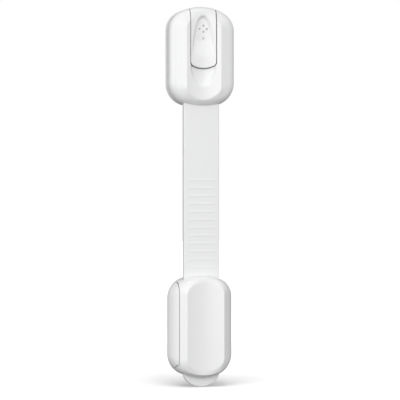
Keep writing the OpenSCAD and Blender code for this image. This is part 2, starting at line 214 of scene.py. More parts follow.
SHELL = plastic("shell_plastic", (0.878, 0.880, 0.883), (0.871, 0.873, 0.876), 0.30, 0.015, 9000, 0.08, 0.015,
                spec=0.5, scuff=0.05)
BUTTON = plastic("button_plastic", (0.878, 0.880, 0.883), (0.871, 0.873, 0.876), 0.30, 0.015, 9000, 0.08, 0.015,
                 spec=0.5, scuff=0.06)
# painted shade: darker grey for the floors of the button's pits, standing in for the shade that falls in them
PIT_PAINTED_SHADE = plastic("pit_painted_shade", (0.585, 0.590, 0.595), (0.565, 0.570, 0.575), 0.45, 0.03, 9000, 0.12, 0.015,
                    spec=0.4)
STRAP = plastic("strap_plastic", (0.858, 0.861, 0.865), (0.849, 0.852, 0.857), 0.46, 0.05, 6000, 0.15, 0.03,
                spec=0.4, scuff=0.05)
# painted shade: the inner parts are set dark grey so that the carriage, seen through the slot around the button,
# darkens the gap lines where shade falls; the grip comb uses the same grey
INNER_GREY_GAP_SHADE = plastic("inner_plastic", (0.36, 0.36, 0.37), (0.32, 0.32, 0.33), 0.48, 0.06, 5000, 0.25, 0.08, spec=0.4)
STEEL = metal("zinc_steel", (0.72, 0.72, 0.73), (0.56, 0.56, 0.58), 0.33, (1, 1, 1), 2500)
WIRE = metal("spring_wire", (0.60, 0.60, 0.62), (0.42, 0.42, 0.44), 0.28, (1, 1, 0.2), 6000)
FOAM = foam("foam_tape")


# ------------------------------------------------------------------ mesh helpers
def make(name, verts, faces, mat, body=None, slot=None, replaces=(), sharp=40.0, merge=True):
    """Mesh from millimetre points (x, depth, z), with depth measured in front of the adhesive face."""
    me = bpy.data.meshes.new(name)
    v = np.asarray(verts, float)
    pts = np.stack([v[:, 0], -v[:, 1], v[:, 2]], 1) * MM
    me.from_pydata(pts.tolist(), [], [list(map(int, f)) for f in faces])
    bm = bmesh.new()
    bm.from_mesh(me)
    if merge:
        bmesh.ops.remove_doubles(bm, verts=bm.verts, dist=0.000004)
        bmesh.ops.dissolve_degenerate(bm, edges=bm.edges, dist=0.000002)
    bmesh.ops.recalc_face_normals(bm, faces=bm.faces)
    bm.to_mesh(me)
    bm.free()
    me.materials.append(mat)
    me.shade_smooth()
    if sharp:
        me.set_sharp_from_angle(angle=math.radians(sharp))
    o = bpy.data.objects.new(name, me)
    SCENE.collection.objects.link(o)
    if body:
        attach(o, body)
    if replaces:
        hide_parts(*replaces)
    return o


class Build:
    """Collects grids and solids of one piece."""

    def __init__(self):
        self.v, self.f, self.n = [], [], 0

    def add(self, verts, faces):
        verts = np.asarray(verts, float).reshape(-1, 3)
        self.v.append(verts)
        self.f.extend([[i + self.n for i in f] for f in faces])
        self.n += len(verts)

    def grid(self, g, closed=False):
        """g: rows x columns x 3. closed joins the last column to the first."""
        g = np.asarray(g, float)
        r, c = g.shape[:2]
        faces = []
        for i in range(r - 1):
            for j in range(c if closed else c - 1):
                k = (j + 1) % c
                faces.append([i * c + j, i * c + k, (i + 1) * c + k, (i + 1) * c + j])
        self.add(g.reshape(-1, 3), faces)

    def ring_face(self, ring):
        self.add(ring, [list(range(len(ring)))])

    def box(self, x0, x1, d0, d1, z0, z1, r=0.2):
        """Box with its edges chamfered in two steps."""
        bm = bmesh.new()
        bmesh.ops.create_cube(bm, size=1.0)
        for v in bm.verts:
            v.co = Vector(((x0 + x1) / 2 + v.co.x * (x1 - x0), (d0 + d1) / 2 + v.co.y * (d1 - d0),
                           (z0 + z1) / 2 + v.co.z * (z1 - z0)))
        r = min(r, 0.4 * min(abs(x1 - x0), abs(d1 - d0), abs(z1 - z0)))
        bmesh.ops.bevel(bm, geom=list(bm.edges), offset=r, segments=2, profile=0.7, affect="EDGES")
        bm.verts.index_update()
        self.add([list(v.co) for v in bm.verts], [[v.index for v in f.verts] for f in bm.faces])
        bm.free()

    def turned(self, profile, centre, axis="z", n=40):
        """profile: (radius, height) points turned about an axis through centre (x, d, z)."""
        cx, cd, cz = centre
        rows = []
        for rad, h in profile:
            a = np.linspace(0, 2 * math.pi, n, endpoint=False)
            if axis == "z":
                rows.append(np.stack([cx + rad * np.cos(a), cd + rad * np.sin(a), np.full(n, cz + h)], 1))
            else:
                rows.append(np.stack([cx + rad * np.cos(a), np.full(n, cd + h), cz + rad * np.sin(a)], 1))
        self.grid(rows, closed=True)

    def done(self, name, mat, body=None, **kw):
        return make(name, np.concatenate(self.v), self.f, mat, body, **kw)


def cap_half(w, zt, r, big, x0=0.0, n_crown=9, n_corner=16):
    """Right half of an end cap, from x0 on the crown to (w, height where the side starts).
    The crown is an arc of radius big through (0, zt) and the corner an arc of radius r."""
    big = max(big, r + 1e-3, w + 1e-3)
    s = min(0.9999, (w - r) / (big - r))
    a = math.asin(s)
    a0 = math.asin(min(s, x0 / big))
    th = np.linspace(a0, a, n_crown)
    crown = np.stack([big * np.sin(th), zt - big + big * np.cos(th)], 1)
    cx, cz = (big - r) * math.sin(a), zt - big + (big - r) * math.cos(a)
    th = np.linspace(a, math.pi / 2, n_corner)[1:]
    corner = np.stack([cx + r * np.sin(th), cz + r * np.cos(th)], 1)
    return np.concatenate([crown, corner])


def outline(w, zt, rt, bt, zb, rb, bb, x0=0.0, side=60, n_crown=22, n_corner=26):
    """Right half of a pad's outline from the top to the bottom, then the mirrored left half."""
    top = cap_half(w, zt, rt, bt, x0, n_crown, n_corner)
    bot = cap_half(w, -zb, rb, bb, 0.0, n_crown, n_corner)
    bot = np.stack([bot[:, 0], -bot[:, 1]], 1)[::-1]
    z = np.linspace(top[-1, 1], bot[0, 1], side)[1:-1]
    right = np.concatenate([top, np.stack([np.full(len(z), w), z], 1), bot])
    left = right[::-1][1:].copy()
    left[:, 0] *= -1
    both = np.concatenate([right, left])
    return both if x0 > 0 else both[:-1]


def lerp(a, b, t):
    return a + (b - a) * t


def drop(e, r):
    """How far a rounded edge of radius r lies below the face at distance e from the outline."""
    e = np.clip(np.asarray(e, float), 0, r)
    return r - np.sqrt(np.maximum(r * r - (r - e) ** 2, 0))


def smoothstep(t):
    t = np.clip(t, 0, 1)
    return t * t * (3 - 2 * t)


# ------------------------------------------------------------------ latch: outer form
L_W, L_RX, L_RD, L_CD, L_A = 18.0, 5.6, 4.2, 7.9, 72.0     # half width, side rounding in x and in depth, its start, its end
L_PANEL, L_FRONT, L_DISH = 9.55, 13.3, 1.45
T_R, T_CD = 4.4, 8.0                           # top end: radius and depth of its rounding
B_R, B_CD = 6.9, 5.9                           # bottom end
I_TOP, I_BOT = 21.0, -22.4                     # ends of the dished island


def latch_dish(x):
    return L_FRONT - L_DISH * (1 - (np.asarray(x, float) / L_PANEL) ** 2)


def latch_levels():
    """Rings from the back rim to the island: (outline settings, depth, share of the dish)."""
    levels = []
    crown = dict(bt=26.0, bb=40.0)

    def ring(inset, d, ix=None, it=None, ib=None):
        ix = inset if ix is None else ix
        it = inset if it is None else it
        ib = inset if ib is None else ib
        return dict(w=L_W - ix, zt=26.4 - it, zb=-26.4 + ib, rt=max(11.0 - (ix + it) / 2, 4.5),
                    rb=max(11.8 - (ix + ib) / 2, 4.5), bt=crown["bt"] - it, bb=crown["bb"] - ib, d=d, dish=0.0)

    def end_inset(d, cd, r):
        if d <= cd:
            return 0.0
        q = min(1.0, (d - cd) / r)
        return r * (1 - math.sqrt(max(0.0, 1 - q * q)))
    for inset, d in ((0.2, 6.34), (0.06, 6.4), (0.0, 6.54), (0.0, 6.8), (0.0, 7.1)):
        levels.append(ring(inset, d, inset, inset, inset + end_inset(d, B_CD, B_R)))
    for a in np.linspace(0, L_A, 15):
        s, c = math.sin(math.radians(a)), math.cos(math.radians(a))
        d = L_CD + L_RD * s
        ix = L_RX * (1 - c)
        levels.append(ring(0, d, ix, end_inset(d, T_CD, T_R), end_inset(d, B_CD, B_R)))
    return levels


LEVELS = latch_levels()
ISLAND = dict(w=L_PANEL, zt=I_TOP, rt=4.5, bt=13.0, zb=I_BOT, rb=4.6, bb=13.0)
BEVEL_STEPS = [0.12, 0.3, 0.5, 0.7, 0.85, 0.93, 0.975, 1.0]


def level_outline(lv, x0):
    return outline(lv["w"], lv["zt"], lv["rt"], lv["bt"], lv["zb"], lv["rb"], lv["bb"], x0)


def latch_rows(x0):
    """Rows of the outer form, from the back rim to the island's edge, at z measured from the latch's centre."""
    rows = []
    for lv in LEVELS:
        o = level_outline(lv, x0)
        rows.append(np.stack([o[:, 0], np.full(len(o), lv["d"]), o[:, 1]], 1))
    isl = level_outline(dict(ISLAND, d=0), x0)
    inner = np.stack([isl[:, 0], latch_dish(isl[:, 0]), isl[:, 1]], 1)
    outer = rows[-1]
    for s in BEVEL_STEPS:
        rows.append(lerp(outer, inner, s))
    return rows


def scoop(x, z):
    """Depth of the shallow thumb scoop below the button, z from the latch's centre."""
    zz = z + 5.0
    h = 1.0 - (x / 7.35) ** 2 - (np.minimum(zz, 0) / 11.1) ** 2
    return 0.2 * (h + np.sqrt(h * h + 0.004)) + 1.40 * smoothstep((h + 0.05) / 0.40)


def set_over(v):
    """The island, its slot and the button sit a touch to the left of the middle."""
    v = v.copy()
    v[:, 0] -= 0.15 * smoothstep((v[:, 1] - 9.0) / 2.5)
    return v


def soften(g, rows, times=6, amount=0.5):
    """Rounds a crease by averaging the given rows with their neighbours."""
    g = g.copy()
    for _ in range(times):
        h = g.copy()
        for r in rows:
            h[r] = lerp(g[r], (g[r - 1] + g[r + 1]) / 2, amount)
        g = h
    return g


BTN_W, GAP = 6.92, 0.5
SLOT_W = BTN_W + GAP
LOW, LOW_R = -6.2, 13.2


def low_edge(x, grow=0.0, corner=1.3):
    """Height of the button's curved lower edge, with rounded corners, grown by grow."""
    r = LOW_R + grow
    w = BTN_W + grow
    x = np.abs(np.asarray(x, float))
    z = LOW - grow + r - np.sqrt(np.maximum(r * r - x * x, 0))
    c = np.clip(x - (w - corner), 0, corner)
    return z + (corner - np.sqrt(np.maximum(corner * corner - c * c, 0))) * 0.9


def slot_ring(count_side, count_low, z_start):
    """Edge of the slot from its right top, down, along the arc and up to the left top."""
    zs = low_edge(SLOT_W, GAP)
    side = np.stack([np.full(count_side, SLOT_W), np.linspace(z_start, zs, count_side)], 1)
    t = np.linspace(0, 1, count_low)[1:]
    x = SLOT_W * (np.cos(t * math.pi / 2) ** 1.0)
    low = np.stack([x, low_edge(x, GAP)], 1)
    right = np.concatenate([side, low])
    left = right[::-1][1:].copy()
    left[:, 0] *= -1
    return np.concatenate([right, left])


def build_latch_cover():
    b = Build()
    rows = latch_rows(SLOT_W)
    n = rows[0].shape[0]
    isl = rows[-1]
    half = (n + 1) // 2
    n_top, n_side = 47, 58
    # the slot's edge, point by point beside the island's edge
    z_start = isl[0, 2] - 0.02
    count_side = n_top + n_side
    slot = slot_ring(count_side, half - count_side + 1, z_start)
    # rows between the island's edge and the slot, at fixed distances near both
    start = isl[:, [0, 2]]
    vec = slot - start
    dist = np.linalg.norm(vec, axis=1)
    inner_rows = []
    K = 56
    rim = 0.2
    for k in range(1, K + 1):
        t = k / K
        near = [0.22, 0.5, 0.85]
        if k <= 3:
            s = np.minimum(near[k - 1] / np.maximum(dist, 1e-6), 0.08 + 0.09 * k)
        else:
            s0 = np.minimum(near[2] / np.maximum(dist, 1e-6), 0.35)
            s1 = np.clip(1 - rim / np.maximum(dist, 1e-6), 0.5, 1)
            s = lerp(s0, s1, (k - 3) / (K - 3))
        p = start + vec * s[:, None]
        d = latch_dish(p[:, 0]) - scoop(p[:, 0], p[:, 1])
        inner_rows.append(np.stack([p[:, 0], d, p[:, 1]], 1))
    last = inner_rows[-1]
    for e in (0.62, 0.3, 0.1, 0.0):
        # rounded rim: e is the remaining share of the rim's width
        p = slot + (last[:, [0, 2]] - slot) * e
        d = latch_dish(p[:, 0]) - scoop(p[:, 0], p[:, 1]) - drop(np.full(n, e * rim), rim)
        inner_rows.append(np.stack([p[:, 0], d, p[:, 1]], 1))
    g = np.array(rows + inner_rows)
    edge = len(rows) - 1
    g = soften(g, range(edge - 3, edge + 3), 7, 0.5)
    g = soften(g, range(edge - 9, edge - 6), 4, 0.4)
    # walls of the slot
    rim_row = g[-1]
    wall_rows = [rim_row]
    for dd in (12.0, 11.0, 9.9):
        w = rim_row.copy()
        w[:, 1] = np.minimum(rim_row[:, 1] - 0.1, dd)
        wall_rows.append(w)
    b.grid(g)
    b.grid(wall_rows)
    # back rim, going inward behind the side wall
    back_row = rows[0]
    inward = back_row.copy()
    inward[:, 0] *= (18 - 1.8) / 18
    inward[:, 2] *= (26.4 - 1.8) / 26.4
    b.grid([inward, back_row])
    # ends of the slot where it runs over the top: walls going inward
    for c in (0, n - 1):
        col = g[:edge + 1, c]
        tan = np.gradient(col, axis=0)
        nrm = np.stack([np.zeros(len(col)), tan[:, 2], -tan[:, 1]], 1)
        nrm /= np.maximum(np.linalg.norm(nrm, axis=1)[:, None], 1e-9)
        if nrm[len(col) // 2, 2] > 0:
            nrm = -nrm
        inner = col + nrm * 1.7
        b.grid([col, inner])
    v = set_over(np.concatenate(b.v))
    v[:, 2] += ZC
    return make("latch_cover_shell", v, b.f, SHELL, "latch", "shell_white", ["latch_cover"], sharp=50)


PITS = ((0.5, 16.2), (-1.65, 14.45), (2.4, 14.4), (0.5, 12.85), (0.5, 9.45))


def build_button():
    """Tongue-shaped cap: dished front with the arched thumb recess and the dots, wrapped over the top end."""
    b = Build()
    e = np.array([0, 0.03, 0.09, 0.17, 0.26])
    mid = np.linspace(-BTN_W + 0.26, BTN_W - 0.26, 111)[1:-1]
    xs = np.concatenate([-BTN_W + e, mid, BTN_W - e[::-1]])
    ex = BTN_W - np.abs(xs)
    low = low_edge(xs)
    isl_top = np.array([ISLAND["zt"] - 13.0 + math.sqrt(13.0 ** 2 - x * x) for x in xs])
    rows, r = [], 0.26
    steps = np.concatenate([e, np.linspace(0.26, 1.0, 3)[1:]])
    nrow = 210
    for k in range(len(steps) + nrow):
        if k < len(steps):
            ez = steps[k]
            z = low + ez
        else:
            t = (k - len(steps) + 1) / nrow
            z = lerp(low + 1.0, isl_top, t)
            ez = 9.0
        d = latch_dish(xs)
        # arched recess
        tt = np.clip((z - 3.0) / 19.3, 0, 1.2)
        gq = np.sqrt((xs / 6.5) ** 2 + tt ** 1.7) + 1e-6
        gx = xs / 6.5 ** 2 / gq
        gz = 0.85 * tt ** 0.7 / 19.3 / gq
        sd = (1 - gq) / np.maximum(np.hypot(gx, gz), 0.05)
        deep = 1.35 * smoothstep((z + 1.0) / 10.0)
        width = 1.6 + 0.7 * smoothstep((tt - 0.78) / 0.22)
        d = d - deep * smoothstep(sd / width)
        # five pits in the shape of an arrow
        for (px, pz) in PITS:
            q = np.hypot(xs - px, z - pz)
            d = d - 0.55 * smoothstep((0.68 - q) / 0.26)
        d = d - drop(np.minimum(ex, ez), r)
        rows.append(np.stack([xs, d, z], 1))
    n_in = len(rows)
    # over the island's edge, the bevel, the rounding and the end wall
    outer = LEVELS[-1]
    top_of = lambda lv: np.array([lv["zt"] - lv["bt"] + math.sqrt(max(lv["bt"] ** 2 - x * x, 0)) for x in xs])
    o_row = np.stack([xs, np.full(len(xs), outer["d"]), top_of(outer)], 1)
    i_row = np.stack([xs, latch_dish(xs), isl_top], 1)
    over = []
    for s in BEVEL_STEPS[::-1][1:]:
        over.append(lerp(o_row, i_row, s))
    for lv in LEVELS[::-1]:
        if lv["d"] < 7.6:
            break
        over.append(np.stack([xs, np.full(len(xs), lv["d"]), top_of(lv)], 1))
    over = np.array(over)
    # rounded side edges there, pressed in along the surface's own direction
    tan = np.gradient(over, axis=0)
    nrm = np.stack([np.zeros(tan.shape[:2]), -tan[..., 2], tan[..., 1]], 2)
    nrm /= np.maximum(np.linalg.norm(nrm, axis=2)[..., None], 1e-9)
    if nrm[1, 30, 1] > 0:
        nrm = -nrm
    over_in = over + nrm * drop(ex, r)[None, :, None]
    g = np.array(rows + list(over_in))
    g = soften(g, range(n_in - 3, n_in + 3), 8, 0.5)
    b.grid(g)
    # walls: lower edge and sides
    lowrow = g[0]
    w = [lowrow]
    for dd in (11.4, 9.8):
        q = lowrow.copy(); q[:, 1] = dd; w.append(q)
    b.grid(w)
    for c in (0, len(xs) - 1):
        col = g[:, c]
        inner = col.copy()
        inner[:n_in, 1] = 9.8
        inner[n_in:] = col[n_in:] + nrm[:, c] * 1.5
        mid_col = (col + inner) / 2
        b.grid([col, mid_col, inner])
    # lower rim of the wrapped end, turned inward
    end = g[-1]
    inn = end.copy(); inn[:, 2] -= 1.6
    edge = end.copy(); edge[:, 1] -= 0.12; edge[:, 2] -= 0.12
    inn[:, 1] -= 0.12
    b.grid([end, edge, inn])
    v = set_over(np.concatenate(b.v))
    v[:, 2] += ZC
    cap = make("release_button_cap", v, b.f, BUTTON, "button", "button_white", ["release_button"], sharp=50)
    # painted shade: the floors of the pits get a darker grey material that stands in for the shade inside the pits
    cap.data.materials.append(PIT_PAINTED_SHADE)
    for face in cap.data.polygons:
        x, z = face.center.x / MM + 0.15, face.center.z / MM - ZC
        if face.center.y < -0.0098 and min(math.hypot(x - px, z - pz) for px, pz in PITS) < 0.56:
            face.material_index = 1
    return cap


def build_slider():
    """Carriage under the cap: plate, wedge that opens the catch, seat of the return spring."""
    b = Build()
    b.box(-8.6, 8.6, 9.0, 9.7, ZC - 14.2, ZC + 14, 0.2)
    b.box(-2.4, 2.4, 5.7, 9.1, ZC + 10.6, ZC + 12, 0.15)
    shape = [(-3.95, -12.8), (3.95, -12.8), (3.95, -10.4), (0.8, -7.2), (-0.8, -7.2), (-3.95, -10.4)]
    mid = np.array(shape).mean(0)
    rows = []
    for inset, d in ((0.0, 9.1), (0.0, 5.75), (0.04, 5.65), (0.15, 5.6)):
        rows.append([(x + (mid[0] - x) * inset * 0.3, d, ZC + z + (mid[1] - z) * inset * 0.3) for x, z in shape])
    b.grid(np.array(rows), closed=True)
    b.ring_face(rows[-1])
    # painted shade: the carriage's dark grey darkens the gap lines around the button
    b.done("button_carriage", INNER_GREY_GAP_SHADE, "button", slot="inner_plastic", replaces=["button_slider"], sharp=35)


def plate(b, w, h_top, h_bot, rt, bt, rb, bb, d0, d1, edge, z_off=0.0, fill=True, lip=None):
    """Flat plate with rounded edges. lip is not used."""
    def ring(inset, d):
        o = outline(w - inset, h_top - inset, rt - inset, bt - inset, h_bot + inset, rb - inset, bb - inset)
        return np.stack([o[:, 0], np.full(len(o), d), o[:, 1] + z_off], 1)
    q = edge
    rows = [ring(q, d0), ring(q * 0.3, d0 + q * 0.3), ring(0, d0 + q), ring(0, d1 - q), ring(q * 0.3, d1 - q * 0.3),
            ring(q, d1)]
    b.grid(rows, closed=True)
    if fill:
        for s, d in ((rows[0], d0), (rows[-1], d1)):
            inner = ring(w * 0.45, d)
            b.grid([s, ring(1.2, d), inner], closed=True)
            b.ring_face(inner)


def cut(o, cutters):
    """Takes the cutters' solids away from an object's mesh."""
    tools = []
    for k, c in enumerate(cutters):
        me = bpy.data.meshes.new(f"cutter_{k}")
        v = np.concatenate(c.v)
        me.from_pydata((np.stack([v[:, 0], -v[:, 1], v[:, 2]], 1) * MM).tolist(), [], [list(map(int, f)) for f in c.f])
        bm = bmesh.new()
        bm.from_mesh(me)
        bmesh.ops.remove_doubles(bm, verts=bm.verts, dist=0.000001)
        bmesh.ops.recalc_face_normals(bm, faces=bm.faces)
        bm.to_mesh(me)
        bm.free()
        t = bpy.data.objects.new(f"cutter_{k}", me)
        SCENE.collection.objects.link(t)
        tools.append(t)
        mod = o.modifiers.new(f"cut_{k}", "BOOLEAN")
        mod.operation = "DIFFERENCE"
        mod.solver = "EXACT"
        mod.object = t
    graph = bpy.context.evaluated_depsgraph_get()
    me = bpy.data.meshes.new_from_object(o.evaluated_get(graph))
    o.modifiers.clear()
    old = o.data
    o.data = me
    bpy.data.meshes.remove(old)
    for t in tools:
        m = t.data
        bpy.data.objects.remove(t)
        bpy.data.meshes.remove(m)


def join_build(o, b):
    """Adds the closed pieces of a Build to an object's mesh."""
    bm = bmesh.new()
    bm.from_mesh(o.data)
    v = np.concatenate(b.v)
    new = [bm.verts.new((p[0] * MM, -p[1] * MM, p[2] * MM)) for p in v]
    faces = []
    for f in b.f:
        try:
            faces.append(bm.faces.new([new[i] for i in f]))
        except ValueError:
            pass
    bmesh.ops.remove_doubles(bm, verts=new, dist=0.000001)
    faces = [f for f in faces if f.is_valid]
    bmesh.ops.recalc_face_normals(bm, faces=faces)
    for f in faces:
        f.smooth = True
    bm.to_mesh(o.data)
    bm.free()


def hole(r, d0, d1, x, z, n=48, flare=0.12, ends=(True, True)):
    """Cutter of a round hole between two faces, with broken edges."""
    c = Build()
    f0, f1 = (flare if e else 0.0 for e in ends)
    prof = [(0.005, d0 - 1), (r + f0, d0 - 1), (r + f0, d0), (r, d0 + f0 + 0.001), (r, d1 - f1 - 0.001), (r + f1, d1),
            (r + f1, d1 + 1), (0.005, d1 + 1)]
    c.turned([(q, h) for q, h in prof], (x, 0, z), "d", n)
    c.f.append([i for i in range(n)])
    c.f.append([i + (len(prof) - 1) * n for i in range(n)])
    return c


SCREWS = [(sx * 12.3, ZC + sz * 16.8) for sx in (-1, 1) for sz in (-1, 1)]


def build_latch_plates():
    # floor with a low rim that carries the parting line, open at the bottom for the strap
    b = Build()

    def ring(inset, d, low=None):
        o = outline(17.75 - inset, 26.25 - inset, 10.9 - inset * 0.9, 25.8 - inset, -26.25 + inset, 11.7 - inset * 0.9,
                    39.8 - inset)
        depth = np.full(len(o), float(d))
        if low is not None:
            depth[(np.abs(o[:, 0]) < 10.1) & (o[:, 1] < -20)] = low
        return np.stack([o[:, 0], depth, o[:, 1] + ZC], 1)
    e = 0.2
    rows = [ring(7.5, 3.2), ring(1.4, 3.2), ring(e, 3.2), ring(e * 0.3, 3.2 + e * 0.3), ring(0, 3.2 + e), ring(0, 5.0),
            ring(0, 6.26 - e, 5.02), ring(e * 0.3, 6.26 - e * 0.3, 5.14), ring(e, 6.26, 5.2), ring(1.35, 6.26, 5.2),
            ring(1.55, 6.1, 5.2), ring(1.62, 5.2), ring(7.5, 5.2)]
    b.ring_face(rows[0])
    b.grid(rows, closed=True)
    b.ring_face(rows[-1])
    o = b.done("latch_floor_plate", SHELL, "latch", slot="shell_white", replaces=["latch_floor"], sharp=0)
    cuts = [hole(3.0, 3.2, 5.2, 0, ZC, 64)]
    cuts += [hole(1.5, 3.2, 5.2, s * 10, ZC) for s in (-1, 1)]
    cuts += [hole(1.1, 3.2, 5.2, x, z, 32) for x, z in SCREWS]
    cuts += [hole(2.3, 3.2, 4.5, x, z, 44, ends=(True, False)) for x, z in SCREWS]
    for c in cuts[-4:]:
        for part in c.v:
            part[:, 1] = np.minimum(part[:, 1], 4.5)
    cut(o, cuts)
    b = Build()
    for s in (-1, 1):
        b.box(min(s * 4.2, s * 5.2), max(s * 4.2, s * 5.2), 5.1, 6.9, ZC + 1.5, ZC + 7, 0.15)
        b.turned([(0.01, 3.3), (1.25, 3.3), (1.45, 3.1), (1.5, 2.9), (1.5, -0.1), (0.01, -0.1)], (s * 5.5, 5.2, ZC - 21),
                 "d", 36)
    b.turned([(0.01, 2.2), (1.6, 2.2), (1.76, 2.1), (1.8, 1.95), (1.8, -0.1), (0.01, -0.1)], (0, 5.2, ZC + 6), "d", 40)
    b.box(-3, 3, 5.1, 9, ZC + 22.4, ZC + 24, 0.15)
    join_build(o, b)
    o.data.shade_smooth()
    o.data.set_sharp_from_angle(angle=math.radians(40))
    b = Build()
    plate(b, 17.8, 26.4, -26.4, 10.9, 26, 11.7, 40, 1.0, 3.0, 0.22, ZC)
    # stud and pegs
    b.turned([(0.01, 4.6), (1.5, 4.6), (1.75, 4.45), (2.7, 3.3), (2.7, 2.85), (2.62, 2.75), (1.9, 2.7), (1.85, 2.6),
              (1.85, 1.4), (1.95, 1.3), (2.6, 1.2), (2.62, -0.2)], (0, 4.0, ZC), "d", 48)
    for s in (-1, 1):
        b.turned([(0.01, 1.9), (1.15, 1.9), (1.32, 1.84), (1.4, 1.7), (1.4, -0.2)], (s * 10, 3.0, ZC), "d", 36)
    b.done("latch_base_plate", SHELL, "door_plate", slot="shell_white", replaces=["latch_base"], sharp=45)


def build_tapes():
    for name, body, node, w, ht, hb, z in (("latch_tape", "door_plate", "latch_adhesive", 16.0, 24.4, -24.4, ZC),
                                           ("anchor_tape", "anchor", "anchor_adhesive", 16.0, 25.1, -25.1, 0.0)):
        b = Build()
        if body == "anchor":
            rows = []
            for inset, d in ((0.09, 0.0), (0.03, 0.03), (0, 0.09), (0, 0.91), (0.03, 0.97), (0.09, 1.0)):
                q = outline(w - inset, ht - inset, 10.4, 60, hb + inset, 10.4, 60)
                x, zz = q[:, 0].copy(), q[:, 1]
                cut = (np.abs(zz) < 23.4 + inset) & (x > 13.2 - inset)
                x[cut] = 13.2 - inset
                rows.append(np.stack([x, np.full(len(x), d), zz], 1))
            b.grid(rows, closed=True)
            for r in (rows[0], rows[-1]):
                inner = r.copy()
                inner[:, [0, 2]] *= 0.5
                b.grid([r, inner], closed=True)
                b.ring_face(inner)
        else:
            plate(b, w, ht, hb, 10.4, 60, 10.4, 60, 0.0, 1.0, 0.09, z)
        b.done(name, FOAM, body, slot="foam_tape", replaces=[node], sharp=50)


# ------------------------------------------------------------------ anchor
A_W, A_H, A_FRONT, A_DISH, A_PANEL = 18.0, 27.1, 15.8, 1.45, 10.25
WIDE_D, BACK_IN, LEAN_IN, LEAN_POWER = 3.5, 0.9, 4.3, 1.84
SEAM_X = A_W - LEAN_IN
SEAM_D = A_FRONT - 3.2
SLIT = 0.36
LEFT_IN = 0.45


def anchor_half_width(d):
    if d < WIDE_D:
        return A_W - BACK_IN * ((WIDE_D - d) / (WIDE_D - 1.0)) ** 2
    if d >= SEAM_D:
        return lerp(SEAM_X, A_PANEL, (d - SEAM_D) / (A_FRONT - SEAM_D))
    return A_W - LEAN_IN * ((d - WIDE_D) / (SEAM_D - WIDE_D)) ** LEAN_POWER


def anchor_end_inset(d):
    """How far the ends lie inside the outline at depth d: a soft roll that steepens towards the front."""
    if d <= 1:
        return 0.0
    t = (d - 1.0) / 13.4
    return 2.9 * (1 - math.sqrt(max(0.0, 1 - min(t, 1.0) ** 3.2 * 0.93)))


def anchor_dish(x):
    return A_FRONT - A_DISH * (1 - (np.asarray(x, float) / A_PANEL) ** 2)


A_GRID = dict(side=64, n_crown=18, n_corner=26)


def anchor_ring(inset, d, grow_end=0.0):
    """Outline of the anchor at depth d, drawn in by inset."""
    w = anchor_half_width(d) - inset
    e = anchor_end_inset(d) + inset
    shrink = (A_W - w + e) / 2
    o = outline(w, A_H - e, max(10.7 - shrink, 5.4), 34.0 - e, -A_H + e, max(11.5 - shrink, 5.4), 26.0 - e, **A_GRID)
    # the left side is drawn in a little towards the back
    pull = LEFT_IN * smoothstep((SEAM_D - 1.0 - d) / (SEAM_D - 4.0))
    o[:, 0] += pull * smoothstep(-o[:, 0] / w)
    return o


def anchor_form():
    """Whole outer form of the anchor as rows of a closed ring, from the back edge to the middle of the island."""
    rows = []
    depths = [3.2, 3.26, 3.42, 4, 5, 6, 7, 8, 9, 9.8, 10.6, 11.3, 11.9, 12.3, SEAM_D, 13.0, 13.5, 14.2]
    for d in depths:
        o = anchor_ring({3.2: 0.14, 3.26: 0.05}.get(d, 0.0), d)
        rows.append(np.stack([o[:, 0], np.full(len(o), d), o[:, 1]], 1))
    o = outline(A_PANEL, 23.7, 5.2, 14.5, -23.3, 5.2, 14.0, **A_GRID)
    isl = np.stack([o[:, 0], anchor_dish(o[:, 0]), o[:, 1]], 1)
    last = rows[-1]
    for s in (0.2, 0.45, 0.7, 0.86, 0.94, 0.98, 1.0):
        rows.append(lerp(last, isl, s))
    edge = len(rows) - 1
    # inside the island: rings shrink towards the middle line
    for s in (0.025, 0.06, 0.11, 0.18, 0.27, 0.38, 0.5, 0.62, 0.74, 0.86, 0.96):
        x = isl[:, 0] * (1 - s)
        z = isl[:, 2] * (1 - s * 0.55)
        rows.append(np.stack([x, anchor_dish(x), z], 1))
    g = np.array(rows)
    g = soften(g, range(edge - 2, edge + 3), 4, 0.5)
    g = soften(g, range(12, 16), 3, 0.35)
    return g


